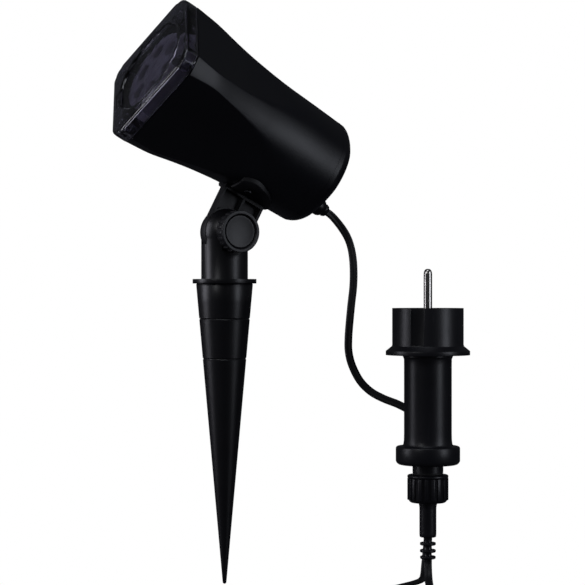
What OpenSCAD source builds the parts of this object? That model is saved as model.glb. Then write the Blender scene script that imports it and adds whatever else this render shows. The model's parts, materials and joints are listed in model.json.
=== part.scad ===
// Garden light projector on a ground stake, with its cord and its upright plug.
// Origin: centre of the collar's underside. +Z up the stem, hinge along Y, beam towards -X.

/* [Ground spike] */
// length of the spike below the collar
spike_len = 156.2; // [120:0.1:220]
// radius of the spike under the collar
spike_top_r = 14.8; // [10:0.1:20]
// radius of the spike's blunt tip
spike_tip_r = 1.0; // [0.6:0.1:3]
// radius of the socket that takes the stem
socket_r = 6.0; // [4:0.1:8]
// depth of the socket
socket_depth = 26; // [15:1:40]

/* [Stem and fork] */
// radius of the stem
post_r = 12.15; // [9:0.05:16]
// radius of the collar
collar_r = 16.6; // [12:0.1:24]
// thickness of the collar
collar_t = 2.3; // [1.5:0.1:5]
// height of the hinge above the collar's underside
hinge_z = 26.5; // [20:0.5:40]
// radius of the rounded fork head
ball_r = 12.7; // [11:0.1:16]
// width of the slot in the fork
slot_w = 5.5; // [4:0.1:9]
// radius of the slot's round bottom
slot_r = 13.5; // [11:0.1:16]
// distance of the knob's seat from the stem's axis
seat_y = 10.2; // [8:0.1:12]

/* [Tilt arm] */
// thickness of the arm
arm_t = 5.2; // [4:0.1:8]
// radius of the arm's eye
eye_r = 12.6; // [10:0.1:15]
// front edge of the arm, ahead of the hinge
arm_front = 12.1; // [8:0.05:14]
// back edge of the arm, behind the hinge
arm_back = 13.1; // [8:0.05:14]
// thickness of the arm's rims
rim_t = 1.4; // [0.8:0.1:3]
// radius of the round saddle under the lamp head
saddle_r = 16; // [12:0.5:20]
// wall of the saddle
saddle_t = 1.6; // [1.5:0.1:4]
// front end of the saddle, ahead of the hinge
saddle_front = 9.5; // [8:0.1:15]

/* [Clamp knob] */
// radius of the knob
knob_r = 10.8; // [8:0.1:14]
// thickness of the knob
knob_t = 7.6; // [5:0.1:12]
// number of grip ribs
knob_ribs = 22; // [12:1:36]
// radius of the tilt bolt
bolt_r = 2.5; // [2:0.1:4]

/* [Lamp head] */
// elevation of the beam at rest, degrees
tilt = 28; // [0:1:80]
// distance from the hinge up to the head's axis
head_up = 54; // [45:0.5:65]
// back end of the head, from the arm's axis
head_back = -37; // [-60:0.5:-30]
// front rim of the black shell, from the arm's axis
head_rim = 70; // [50:1:90]
// radius of the shell at its back end
back_r = 29; // [26:0.1:30]
// radius of the shell at its rim, over the corners
rim_r = 39.4; // [38:0.1:42]
// distance of the flat sides from the axis, at the rim
flat_d = 31.3; // [30:0.1:34]
// distance of the flat sides from the axis, at the waist
waist_d = 27.8; // [27:0.1:29]
// wall of the shell
wall = 2.3; // [1.6:0.1:4]
// rounding of the back end
round_r = 7.5; // [3:0.1:12]
// depth of the clear cover
cover_t = 8; // [5:0.1:12]
// radius of the window in the cover
window_r = 24.8; // [20:0.1:27]

/* [Optics and drive] */
// radius of the circle the lenses stand on
lens_pcr = 13.6; // [10:0.1:18]
// radius of each lens
lens_r = 4.4; // [3:0.1:6]
// number of lenses
lens_n = 6; // [3:1:8]
// radius of the picture wheel
wheel_r = 20; // [16:0.1:24]
// radius of the small wheel motor
motor_r = 7.4; // [5:0.1:9]

/* [Plug] */
// place of the upright plug, along X
plug_x = 92.5; // [80:0.5:120]
// place of the upright plug, along Y
plug_y = -51.3; // [-80:0.1:-30]
// turn of the plug about its own axis, degrees
plug_turn = -33; // [-90:1:90]
// radius of the plug's contact end
plug_r = 18.7; // [17:0.1:20]
// radius of the flange
flange_r = 21.9; // [20:0.1:26]
// radius of the transformer barrel
barrel_r = 12.4; // [10:0.1:18]
// radius of the barrel's end collar
endcol_r = 16.7; // [14:0.1:20]
// radius of the coupling nut
nut_r = 10.7; // [8:0.1:14]
// radius of the strain relief
relief_r = 4.4; // [3:0.1:6]

/* [Cord] */
// width of the flat cord
cord_w = 4.2; // [3:0.1:6]
// thickness of the flat cord
cord_t = 2.1; // [1.5:0.1:4]
// mean radius of the coil
coil_r = 23; // [18:0.5:40]

/* [Hidden] */
$fn = 0;
$fa = 6;
$fs = 0.5;
eps = 0.01;
cover_z = head_rim + cover_t;
// front face of the lens plate
lens_face = head_rim + 3;
// radius of the shell over its corners, at places along its axis
SHELL = [[-60, back_r - 0.9], [-38, back_r], [-14, back_r + 1], [10, back_r + 2], [28, back_r + 4.1],
  [41, rim_r - 4], [55, rim_r - 1.1], [63, rim_r - 0.4], [70, rim_r], [90, rim_r + 0.6]];
// distance of the flat sides from the axis, at places along it
FLATS = [[-60, back_r + 2], [-14, back_r + 1.2], [14, waist_d], [34, waist_d], [52, flat_d - 1.9],
  [70, flat_d], [90, flat_d + 1.6]];

// radius of the shell at a place along its axis
function shell_r(a) = lookup(a, SHELL);

// outline of the shell from the axis at the back to the axis at the front, moved out by off
function shell_outline(off, front) = concat(
  [[0, head_back - off]],
  [for (i = [0:6])
    [shell_r(-34.5) - round_r + (round_r + off) * sin(15 * i),
     head_back + round_r - (round_r + off) * cos(15 * i)]],
  [for (p = SHELL) if (p[0] > -20 && p[0] < front) [p[1] + off, p[0]]],
  [[shell_r(front) + off, front], [0, front]]);

// places the children on the tilting arm: Z away from the hinge, -X forward
module on_arm() {
  translate([0, 0, hinge_z])
    rotate([0, tilt, 0])
      children();
}

// places the children on the head's axis: Z forward, X away from the arm
module on_head() {
  on_arm()
    translate([0, 0, head_up])
      rotate([0, -90, 0])
        children();
}

// outline of a pair of opposite flat sides, moved out by off
function flats_outline(off) = concat(
  [for (p = FLATS) [p[1] + off, p[0]]],
  [for (i = [len(FLATS) - 1:-1:0]) [-FLATS[i][1] - off, FLATS[i][0]]]);

// the head as a solid, moved out by off, cut off at front
module head_solid(off, front) {
  intersection() {
    rotate_extrude() polygon(shell_outline(off, front));
    for_flats(off);
  }
}

// both pairs of flat sides
module for_flats(off) {
  intersection_for (a = [45, 135])
    rotate([90, 0, a])
      linear_extrude(120, center = true) polygon(flats_outline(off));
}

// places the children on the plug's axis, turned to face the front
module on_plug() {
  translate([plug_x, plug_y, 0])
    rotate([0, 0, plug_turn])
      children();
}

module ground_spike() {
  color("#202024")
    difference() {
      union() {
        translate([0, 0, -spike_len + spike_tip_r])
          cylinder(r1 = spike_tip_r, r2 = spike_top_r, h = spike_len - spike_tip_r);
        translate([0, 0, -spike_len + spike_tip_r]) sphere(r = spike_tip_r, $fa = 12, $fs = 0.2);
      }
      translate([0, 0, -socket_depth]) cylinder(r = socket_r, h = socket_depth + 1);
      for (z = [-18.4, -39.1])
        translate([0, 0, z])
          rotate_extrude()
            translate([spike_top_r + z * 0.0877, 0]) circle(r = 0.35, $fn = 24);
    }
}

module stem_post() {
  color("#232327")
    difference() {
      union() {
        cylinder(r = collar_r, h = collar_t);
        cylinder(r = post_r, h = hinge_z);
        translate([0, 0, hinge_z]) sphere(r = ball_r);
        translate([0, 0, -24]) cylinder(r = socket_r, h = 25);
      }
      translate([0, 0, hinge_z])
        rotate([90, 0, 0])
          cylinder(r = slot_r, h = slot_w, center = true);
      translate([0, -slot_w / 2, hinge_z - slot_r]) cube([20, slot_w, 40]);
      translate([0, 20, hinge_z])
        rotate([90, 0, 0])
          cylinder(r = bolt_r + 0.1, h = 40);
      translate([0, -seat_y, hinge_z])
        rotate([90, 0, 0])
          cylinder(r = knob_r + 0.9, h = 10);
      translate([0, 16.9, hinge_z])
        rotate([90, 0, 0])
          cylinder(r = 4.8, h = 10, $fn = 6);
    }
}

module tilt_bolt() {
  color("#b8bcc0")
    translate([0, 0, hinge_z])
      rotate([90, 0, 0]) {
        translate([0, 0, -7]) cylinder(r = bolt_r, h = 7 + seat_y + 5.3);
        translate([0, 0, -10.4]) cylinder(r = 4.6, h = 3.5, $fn = 6);
      }
}

module bolt_washer() {
  color("#b8bcc0")
    translate([0, -seat_y, hinge_z])
      rotate([90, 0, 0])
        difference() {
          cylinder(r = 7, h = 0.8);
          translate([0, 0, -1]) cylinder(r = bolt_r + 0.1, h = 3);
        }
}

module tilt_knob() {
  color("#2c2c31")
    translate([0, -seat_y - 0.9, hinge_z])
      rotate([90, 0, 0])
        difference() {
          union() {
            cylinder(r = knob_r - 0.6, h = knob_t);
            translate([0, 0, knob_t - 1.4]) cylinder(r = knob_r, h = 1.1);
            for (i = [0:knob_ribs - 1])
              rotate([0, 0, i * 360 / knob_ribs])
                translate([knob_r - 0.6, 0, 0])
                  cylinder(r = 0.75, h = knob_t - 1.2, $fn = 16);
          }
          translate([0, 0, knob_t - 1.2]) cylinder(r = 8.2, h = 3);
          translate([0, 0, -1]) cylinder(r = 4.4, h = 6.2, $fn = 6);
        }
}

module knob_nut() {
  color("#b8bcc0")
    translate([0, -seat_y - 1, hinge_z])
      rotate([90, 0, 0])
        difference() {
          cylinder(r = 4.4, h = 5, $fn = 6);
          translate([0, 0, -1]) cylinder(r = bolt_r + 0.05, h = 8);
        }
}

module knob_cap() {
  color("#3a3a40")
    translate([0, -seat_y - 0.9 - knob_t + 1.2, hinge_z])
      rotate([90, 0, 0])
        difference() {
          cylinder(r = 8.2, h = 0.9);
          translate([0, 0, 30.6]) sphere(r = 30, $fa = 3);
        }
}

module tilt_arm() {
  color("#202024")
    difference() {
      on_arm() {
        rotate([90, 0, 0]) cylinder(r = eye_r, h = arm_t, center = true);
        difference() {
          translate([-arm_front, -arm_t / 2, 0]) cube([arm_front + arm_back, arm_t, 23]);
          difference() {
            translate([-arm_front + rim_t, -arm_t, 0])
              cube([arm_front + arm_back - 2 * rim_t, arm_t + 1, 20.2]);
            translate([-1, 5, 0]) rotate([90, 0, 0]) cylinder(r = 12.6, h = 12);
            translate([0.4, -5, 8]) cube([1.3, 12, 16]);
          }
        }
        intersection() {
          translate([-0.5, 0, 15]) cylinder(r = saddle_r, h = 15);
          translate([-saddle_front, -30, 15]) cube([60, 60, 15]);
          translate([0, 0, head_up])
            rotate([0, -90, 0])
              head_solid(0.3 + saddle_t, 40);
        }
      }
      on_head() head_solid(0.3, 60);
      on_arm() {
        rotate([90, 0, 0]) cylinder(r = bolt_r + 0.06, h = 20, center = true);
        for (s = [-1, 1])
          translate([0, s * 2.2, 0])
            rotate([-s * 90, 0, 0])
              cylinder(r = 9, h = 2);
      }
      for (s = [-1, 1]) arm_screw_place(s) translate([0, 0, -3]) cylinder(r = 1.4, h = 8);
    }
}

module friction_washers() {
  color("#55565a")
    on_arm()
      for (s = [-1, 1])
        translate([0, s * 2.2, 0])
          rotate([-s * 90, 0, 0])
            difference() {
              cylinder(r = 8.95, h = 0.5);
              translate([0, 0, -1]) cylinder(r = bolt_r + 0.1, h = 3);
            }
}

// a saddle screw's place: Z points into the head
module arm_screw_place(s) {
  on_arm()
    translate([-2, 0, head_up])
      rotate([s * 17.5, 0, 0])
        translate([0, 0, -31.2 - saddle_t])
          children();
}

module arm_screws() {
  color("#b8bcc0")
    for (s = [-1, 1])
      arm_screw_place(s) {
        difference() {
          translate([0, 0, -1.4]) cylinder(r = 2.2, h = 1.4);
          translate([-1.3, -0.25, -2]) cube([2.6, 0.5, 1.2]);
          translate([-0.25, -1.3, -2]) cube([0.5, 2.6, 1.2]);
        }
        cylinder(r = 1.3, h = 9);
      }
}

module head_shell() {
  color("#1e1e22")
    difference() {
      union() {
        difference() {
          on_head() head_solid(0, head_rim);
          on_head() head_solid(-wall, head_rim + 5);
        }
        intersection() {
          union() {
            for (s = [-1, 1]) arm_screw_place(s) translate([0, 0, 3]) cylinder(r = 3, h = 7);
            on_head() {
              translate([-12.8, 0, head_back]) cylinder(r = 6.8, h = 4.5);
              for (y = [-30, 19.75])
                translate([-7, y, -35.5]) cube([4, 10.25, 43.5]);
              for (a = [0:90:270])
                rotate([0, 0, a + 45])
                  translate([24.8, -3, 32.5]) cube([10, 6, 27.5]);
            }
          }
          on_head() head_solid(-0.6, 68);
        }
      }
      for (s = [-1, 1]) arm_screw_place(s) translate([0, 0, -3]) cylinder(r = 1.3, h = 12.2);
      on_head() translate([-14.6, 0, head_back - 5]) cylinder(r = 3.1, h = 20);
      for (s = [-1, 1])
        on_head() translate([-5.8, s * 19.5 - 1.5, -34.3]) cube([1.62, 3, 36.3]);
    }
}

// outline of the wavy clear cover: a rounded square on its corner with lobed corners
module cover_outline(off) {
  intersection() {
    circle(r = rim_r - 0.1 + off);
    rotate([0, 0, 45]) square(2 * (flat_d + 0.3 + off), center = true);
  }
  for (a = [0:90:270])
    rotate([0, 0, a]) translate([rim_r - 4.6, 0]) circle(r = 5.6 + off);
}

module cover_gasket() {
  color("#151517")
    on_head()
      translate([0, 0, head_rim])
        difference() {
          intersection() {
            cylinder(r = rim_r - 1, h = 0.8);
            rotate([0, 0, 45])
              translate([-flat_d + 0.3, -flat_d + 0.3, -1])
                cube([2 * flat_d - 0.6, 2 * flat_d - 0.6, 4]);
          }
          intersection() {
            translate([0, 0, -1]) cylinder(r = rim_r - 2.8, h = 4);
            rotate([0, 0, 45])
              translate([-flat_d + 2, -flat_d + 2, -1])
                cube([2 * flat_d - 4, 2 * flat_d - 4, 4]);
          }
        }
}

module front_cover() {
  color("#dfe6ea", 0.35)
    on_head()
      difference() {
        union() {
          difference() {
            translate([0, 0, head_rim + 0.8]) linear_extrude(cover_t - 0.8) cover_outline(0);
            translate([0, 0, head_rim]) linear_extrude(cover_t - 2.4) cover_outline(-2.2);
          }
          difference() {
            translate([0, 0, 62.5]) cylinder(r = window_r + 1.6, h = 13.5);
            translate([0, 0, 62]) cylinder(r = window_r, h = 13.6);
          }
          for (a = [0:90:270])
            rotate([0, 0, a]) {
              translate([32.2, 0, head_rim + 1]) cylinder(r = 2.6, h = 6);
              translate([29.8, -3, 63]) cube([1.8, 6, 14]);
            }
        }
        translate([0, 0, cover_z - 1.1]) cylinder(r = window_r - 0.4, h = 3);
        rotate_extrude()
          polygon([[rim_r - 1, cover_z + 1], [rim_r - 1, cover_z], [rim_r + 1.8, cover_z - 3],
            [rim_r + 6, cover_z - 3], [rim_r + 6, cover_z + 1]]);
      }
}

module lens_plate() {
  color("#34323d")
    on_head()
      difference() {
        union() {
          translate([0, 0, 60]) cylinder(r = 27.6, h = 2.5);
          translate([0, 0, 62]) cylinder(r = 21.7, h = lens_face - 62);
        }
        for (i = [0:lens_n - 1])
          rotate([0, 0, (i + 0.5) * 360 / lens_n])
            translate([lens_pcr, 0, 58])
              cylinder(r = lens_r, h = 20);
      }
}

module lenses() {
  color("#9fb0c8", 0.5)
    on_head()
      for (i = [0:lens_n - 1])
        rotate([0, 0, (i + 0.5) * 360 / lens_n])
          translate([lens_pcr, 0, 0])
            intersection() {
              translate([0, 0, lens_face - 5]) cylinder(r = lens_r, h = 5);
              translate([0, 0, lens_face - 8.4]) sphere(r = 7, $fa = 4);
            }
}

module picture_wheel() {
  color("#5a78c8", 0.6)
    on_head()
      difference() {
        union() {
          translate([0, 0, 55]) cylinder(r = wheel_r, h = 1.2);
          translate([0, 0, 52.6]) cylinder(r = 3, h = 3);
        }
        translate([0, 0, 50]) cylinder(r = 1, h = 10);
      }
}

module motor_shaft() {
  color("#b8bcc0")
    on_head() translate([0, 0, 46]) cylinder(r = 1, h = 10.2);
}

module wheel_motor() {
  color("#b0b2b6")
    on_head()
      difference() {
        union() {
          translate([0, 0, 37]) cylinder(r = motor_r, h = 13);
          translate([0, 0, 49]) cylinder(r = 2.4, h = 2);
        }
        translate([0, 0, 45]) cylinder(r = 1.05, h = 10);
      }
}

module motor_bracket() {
  color("#4c4c52")
    on_head()
      difference() {
        union() {
          translate([0, 0, 30.6]) cylinder(r = motor_r + 1.8, h = 15);
          for (a = [45:90:315])
            rotate([0, 0, a])
              translate([8, -2.5, 31]) cube([17.2, 5, 1.5]);
        }
        translate([0, 0, 37]) cylinder(r = motor_r, h = 20);
        translate([0, 0, 30]) cylinder(r = 5, h = 10);
      }
}

module lamp_board() {
  color("#e8e8e4")
    on_head()
      difference() {
        translate([0, 0, 35]) cylinder(r = 20.5, h = 1.5);
        translate([0, 0, 34]) cylinder(r = motor_r + 2.1, h = 4);
      }
}

module lamp_leds() {
  color("#f2efe0")
    on_head()
      for (i = [0:lens_n - 1])
        rotate([0, 0, (i + 0.5) * 360 / lens_n])
          translate([lens_pcr, 0, 36.5]) {
            translate([-1.75, -1.75, 0]) cube([3.5, 3.5, 1]);
            translate([0, 0, 1]) cylinder(r1 = 1.5, r2 = 0.9, h = 1.1);
          }
}

module heat_sink() {
  color("#b4b8bc")
    on_head()
      difference() {
        union() {
          translate([0, 0, 32]) cylinder(r = 22.5, h = 3);
          for (y = [-18:4:18])
            translate([-sqrt(480 - y * y), y - 0.7, 16])
              cube([2 * sqrt(480 - y * y), 1.4, 16.5]);
        }
        translate([0, 0, 10]) cylinder(r = 5, h = 30);
        translate([0, 0, 30.5]) cylinder(r = motor_r + 1.9, h = 10);
        for (a = [45, 135])
          rotate([0, 0, a])
            translate([-26, -2.6, 30.5]) cube([52, 5.2, 2.1]);
      }
}

module driver_board() {
  color("#2f6b3c")
    on_head()
      translate([-5.8, -21, -34]) cube([1.6, 42, 36]);
}

module driver_parts() {
  color("#c9a227")
    on_head() {
      translate([-4.2, -14, -30]) cube([9, 11, 13]);
      translate([-4.2, 8, -24]) rotate([0, 90, 0]) cylinder(r = 4, h = 12);
      translate([-4.2, 4, -10]) cube([5, 9, 7]);
      translate([-4.2, -12, -8]) cube([3, 8, 6]);
    }
}

module cable_gland() {
  color("#17171a")
    on_head()
      translate([-14.6, 0, head_back])
        {
          translate([0, 0, -5.6]) cylinder(r = 4.7, h = 5.6);
          translate([0, 0, -10.4]) cylinder(r1 = 3.2, r2 = 4.3, h = 4.9);
          translate([0, 0, -0.1]) cylinder(r = 3.1, h = 8);
        }
}

module gland_nut() {
  color("#2a2a2e")
    on_head()
      translate([-14.6, 0, head_back + 4.6])
        difference() {
          cylinder(r = 5, h = 2.4, $fn = 6);
          translate([0, 0, -1]) cylinder(r = 3.1, h = 5);
        }
}

module plug_front() {
  color("#26262e")
    on_plug()
      difference() {
        union() {
          translate([0, 0, -33]) cylinder(r = plug_r, h = 20.2);
          translate([0, 0, -37.2]) cylinder(r = flange_r, h = 2.2);
          translate([0, 0, -35.1]) cylinder(r1 = flange_r, r2 = plug_r, h = 2.6);
        }
        for (s = [0, 180])
          rotate([0, 0, s]) {
            translate([-8.7, -22, -32]) cube([6.6, 6, 24]);
            translate([16.9, -2.6, -32]) cube([6, 5.2, 24]);
          }
        translate([-8.7, -22, -32]) cube([6.6, 7, 30]);
        for (s = [-1, 1])
          translate([0, s * 9.5, -20]) cylinder(r = 2.6, h = 10);
        translate([0, 0, -35.2]) cylinder(r = 13.4, h = 19.2);
        translate([0, 0, -38]) cylinder(r = barrel_r, h = 4);
      }
}

module plug_pins() {
  color("#c9c6c0")
    on_plug()
      for (s = [-1, 1])
        translate([0, s * 9.5, 0]) {
          translate([0, 0, -22]) cylinder(r = 2.6, h = 9.2);
          translate([0, 0, -12.9]) cylinder(r = 2.2, h = 19.1);
          translate([0, 0, 6.2]) cylinder(r1 = 2.2, r2 = 1.3, h = 1.3);
        }
}

module plug_barrel() {
  color("#26262e")
    on_plug()
      difference() {
        union() {
          translate([0, 0, -84]) cylinder(r = barrel_r, h = 48.8);
          translate([0, 0, -38.4]) cylinder(r = barrel_r + 0.6, h = 1.2);
          translate([0, 0, -84.6]) cylinder(r1 = barrel_r + 0.6, r2 = barrel_r, h = 4);
          translate([0, 0, -92.6]) cylinder(r = endcol_r, h = 8);
          translate([0, 0, -94.1]) cylinder(r1 = endcol_r - 1.5, r2 = endcol_r, h = 1.5);
        }
        translate([0, 0, -91]) cylinder(r = barrel_r - 2, h = 60);
        translate([0, 0, -96]) cylinder(r = 6, h = 8);
      }
}

module power_board() {
  color("#2f6b3c")
    on_plug()
      translate([-9, -0.8, -89]) cube([18, 1.6, 64]);
}

module power_parts() {
  color("#c9a227")
    on_plug() {
      translate([-6.5, -7.6, -66]) cube([13, 6.8, 16]);
      translate([0, 0.8, -44]) rotate([-90, 0, 0]) cylinder(r = 4.5, h = 6);
      translate([-6, 0.8, -76]) cube([12, 4, 12]);
    }
}

module outlet_neck() {
  color("#1c1c22")
    on_plug()
      difference() {
        union() {
          translate([0, 0, -98.2]) cylinder(r = 8, h = 4.1);
          translate([0, 0, -112]) cylinder(r = 6.6, h = 14);
          translate([0, 0, -94.3]) cylinder(r = 6, h = 5.3);
        }
        translate([0, 0, -113]) cylinder(r = 2.8, h = 26);
      }
}

module neck_seal() {
  color("#151517")
    on_plug()
      translate([0, 0, -99.2])
        difference() {
          cylinder(r = 7.9, h = 0.95);
          translate([0, 0, -1]) cylinder(r = 6.6, h = 3);
        }
}

// outline of a ribbed grip: n flat ribs standing h proud of radius r
function rib_outline(r, h, n) = [for (i = [0:n - 1]) for (k = [0:3])
  let (t = (i + [0.05, 0.18, 0.62, 0.75][k]) * 360 / n, q = [r, r + h, r + h, r][k])
    [q * cos(t), q * sin(t)]];

module coupling_nut() {
  color("#26262e")
    on_plug()
      difference() {
        union() {
          translate([0, 0, -112.6]) linear_extrude(12) polygon(rib_outline(nut_r - 0.6, 0.6, 18));
          translate([0, 0, -113.8]) cylinder(r1 = nut_r - 1.6, r2 = nut_r - 0.7, h = 1.25);
          translate([0, 0, -100.7]) cylinder(r = nut_r - 0.05, h = 1.4);
        }
        translate([0, 0, -112.35]) cylinder(r = 6.68, h = 16);
        translate([0, 0, -115]) cylinder(r = 4.95, h = 6);
      }
}

module strain_relief() {
  color("#1c1c22")
    on_plug()
      difference() {
        union() {
          translate([0, 0, -116.2]) cylinder(r1 = relief_r, r2 = 4.9, h = 3.9);
          translate([0, 0, -112.3]) cylinder(r = 2.75, h = 8);
          translate([0, 0, -131.8]) cylinder(r = relief_r, h = 15.7);
          translate([0, 0, -143.1]) cylinder(r = 1.9, h = 12);
          for (z = [-136.1, -139.8, -143.2])
            translate([0, 0, z]) cylinder(r = 4.1, h = 1.5);
        }
        translate([0, 0, -145]) cylinder(r = 1.2, h = 45);
      }
}

// cord points: place of the middle, then the direction its wide side lies along
LAMP_RUN = [
  [60.9, 0, 38.7, 0.47, 0, 0.88],
  [64.3, -0.7, 36.2, 0.5, -0.05, 0.86],
  [68.4, -2.4, 31.0, 0.6, -0.25, 0.7],
  [71.4, -4.1, 25.6, 0.65, -0.6, 0.45],
  [73.2, -5.1, 20.2, 0.7, -0.8, 0.2],
  [74.0, -6.1, 13.8, 0.8, -0.7, 0],
  [74.1, -6.8, 6.3, 0.85, -0.55, 0],
  [73.9, -6.7, -1.8, 0.87, -0.49, 0],
  [73.1, -6.2, -10.3, 0.87, -0.49, 0],
  [72.3, -5.7, -20.0, 0.87, -0.49, 0],
  [71.7, -5.4, -29.1, 0.87, -0.49, 0],
  [71.8, -5.5, -36.6, 0.87, -0.49, 0],
  [73.5, -6.4, -44.1, 0.87, -0.49, 0],
  [76.9, -8.9, -52.1, 0.7, -0.4, 0.6],
  [81.7, -12.1, -57.8, 0.6, -0.3, 0.75],
  [87.4, -16.4, -61.6, 0.4, -0.2, 0.9],
  [93.5, -20.9, -64.5, 0.4, -0.2, 0.9],
  [99.0, -25.1, -68.5, 0.6, -0.3, 0.75],
  [103.1, -28.6, -74.5, 0.7, -0.4, 0.6],
  [105.1, -30.8, -82.2, 0.87, -0.49, 0],
  [105.5, -31.6, -91.7, 0.87, -0.49, 0],
  [105.4, -31.6, -102.4, 0.87, -0.49, 0],
  [105.3, -31.6, -113.5, 0.87, -0.49, 0],
  [105.3, -31.6, -124.2, 0.87, -0.49, 0],
  [105.1, -31.7, -134.8, 0.87, -0.49, 0],
  [104.0, -32.2, -142.7, 0.87, -0.49, 0],
  [102.0, -34.0, -149.2, 0.87, -0.49, 0],
  [98.8, -38.0, -153.6, 0.8, -0.6, 0],
  [94.0, -43.4, -155.1, 0.66, -0.75, 0],
  [86.0, -50.2, -155.1, 0.57, -0.82, 0],
  [73.7, -57.0, -155.1, 0.45, -0.9, 0],
  [58.2, -64.3, -155.1, 0.38, -0.92, 0],
  [41.0, -70.7, -155.1, 0.33, -0.94, 0],
  [22.7, -76.7, -155.1, 0.33, -0.94, 0],
  [4.1, -83.6, -155.1, 0.43, -0.9, 0],
  [-11.6, -93.2, -155.1, 0.62, -0.8, 0],
  [-23.2, -105.2, -155.1, 0.75, -0.6, 0],
  [-32.0, -119.5, -155.1, 0.88, -0.45, 0]];
PLUG_RUN = [
  [92.5, -51.3, -143.2, 0.87, -0.49, 0],
  [92.5, -51.3, -146.2, 0.87, -0.49, 0],
  [91.7, -52.7, -149.6, 0.87, -0.49, 0],
  [90.1, -55.6, -152.9, 0.87, -0.49, 0],
  [87.9, -59.6, -154.7, 0.87, -0.49, 0],
  [85.1, -64.3, -155.1, 0.87, -0.49, 0],
  [79.5, -73.8, -155.1, 0.85, -0.53, 0],
  [71.8, -85.5, -155.1, 0.8, -0.6, 0],
  [62.9, -96.6, -155.1, 0.75, -0.66, 0],
  [53.1, -107.2, -155.1, 0.72, -0.7, 0],
  [43.0, -117.6, -154.6, 0.75, -0.7, 0],
  [32.8, -129.1, -151.6, 0.8, -0.6, 0],
  [25.0, -139.6, -148.8, 0.85, -0.55, 0],
  [20.0, -148.3, -148.5, 0.88, -0.48, 0]];
COIL_X = -6;
COIL_Y = -134;
FLOOR = -spike_len;
coil_w = 17.4;
coil_h = 8.8;

function unit(v) = v / norm(v);
function place(p) = [p[0], p[1], p[2]];
function along(r, i) = unit(place(r[min(i + 1, len(r) - 1)]) - place(r[max(i - 1, 0)]));
function wide_raw(p) = [p[3], p[4], p[5]];
function wide(r, i) = unit(wide_raw(r[i]) - (wide_raw(r[i]) * along(r, i)) * along(r, i));

// flat cord swept along a run, eight corners a ring
module cord_run(r) {
  n = len(r);
  pts = [for (i = [0:n - 1]) for (k = [0:7])
    place(r[i])
    + wide(r, i) * cord_w / 2 * [1, 0.72, 0, -0.72, -1, -0.72, 0, 0.72][k]
    + cross(along(r, i), wide(r, i)) * cord_t / 2 * [0, 0.9, 1, 0.9, 0, -0.9, -1, -0.9][k]];
  sides = [for (i = [0:n - 2]) for (k = [0:7])
    [i * 8 + k, i * 8 + (k + 1) % 8, (i + 1) * 8 + (k + 1) % 8, (i + 1) * 8 + k]];
  ends = [[for (k = [7:-1:0]) k], [for (k = [0:7]) (n - 1) * 8 + k]];
  polyhedron(points = pts, faces = concat(
    [for (f = sides) [f[0], f[2], f[1]]],
    [for (f = sides) [f[0], f[3], f[2]]],
    [for (e = ends) [for (k = [7:-1:0]) e[k]]]), convexity = 6);
}

module cord_lamp_run() {
  color("#1b1b1f") cord_run(LAMP_RUN);
}

module cord_plug_run() {
  color("#1b1b1f") cord_run(PLUG_RUN);
}

module cord_coil() {
  color("#1b1b1f")
    translate([COIL_X, COIL_Y, FLOOR])
      rotate_extrude()
        translate([coil_r - coil_w / 2, 0])
          polygon([[1.5, 0], [coil_w - 1.5, 0], [coil_w, 1.5], [coil_w, coil_h - 1.5],
            [coil_w - 1.5, coil_h], [1.5, coil_h], [0, coil_h - 1.5], [0, 1.5]]);
}

module cord_tie() {
  color("#2a2a2e")
    translate([COIL_X, COIL_Y - coil_r, FLOOR])
      difference() {
        translate([-2.5, -coil_w / 2 - 0.8, 0]) cube([5, coil_w + 1.6, coil_h + 0.7]);
        translate([-5, -coil_w / 2 - 0.1, 0.3]) cube([10, coil_w + 0.2, coil_h - 0.25]);
      }
}

ground_spike();
stem_post();
tilt_bolt();
bolt_washer();
tilt_knob();
knob_nut();
knob_cap();
tilt_arm();
friction_washers();
arm_screws();
head_shell();
cover_gasket();
front_cover();
lens_plate();
lenses();
picture_wheel();
motor_shaft();
wheel_motor();
motor_bracket();
lamp_board();
lamp_leds();
heat_sink();
driver_board();
driver_parts();
cable_gland();
gland_nut();
plug_front();
plug_pins();
plug_barrel();
power_board();
power_parts();
outlet_neck();
neck_seal();
coupling_nut();
strain_relief();
cord_lamp_run();
cord_plug_run();
cord_coil();
cord_tie();
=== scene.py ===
# %% [markdown]
# # A garden light projector on a ground stake
# The lamp head is a black moulded shell with a clear front. It tilts on a fork at the top of a
# short stem, and the stem stands in a cone that is pushed into the ground. A flat cord runs to an
# upright transformer plug. The engineering model gives every place and size; these cells give
# the visible pieces their soft edges and their finish.

# %% Load the engineering model
import json
import math
import bpy
import bmesh
from mathutils import Matrix, Vector


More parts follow.
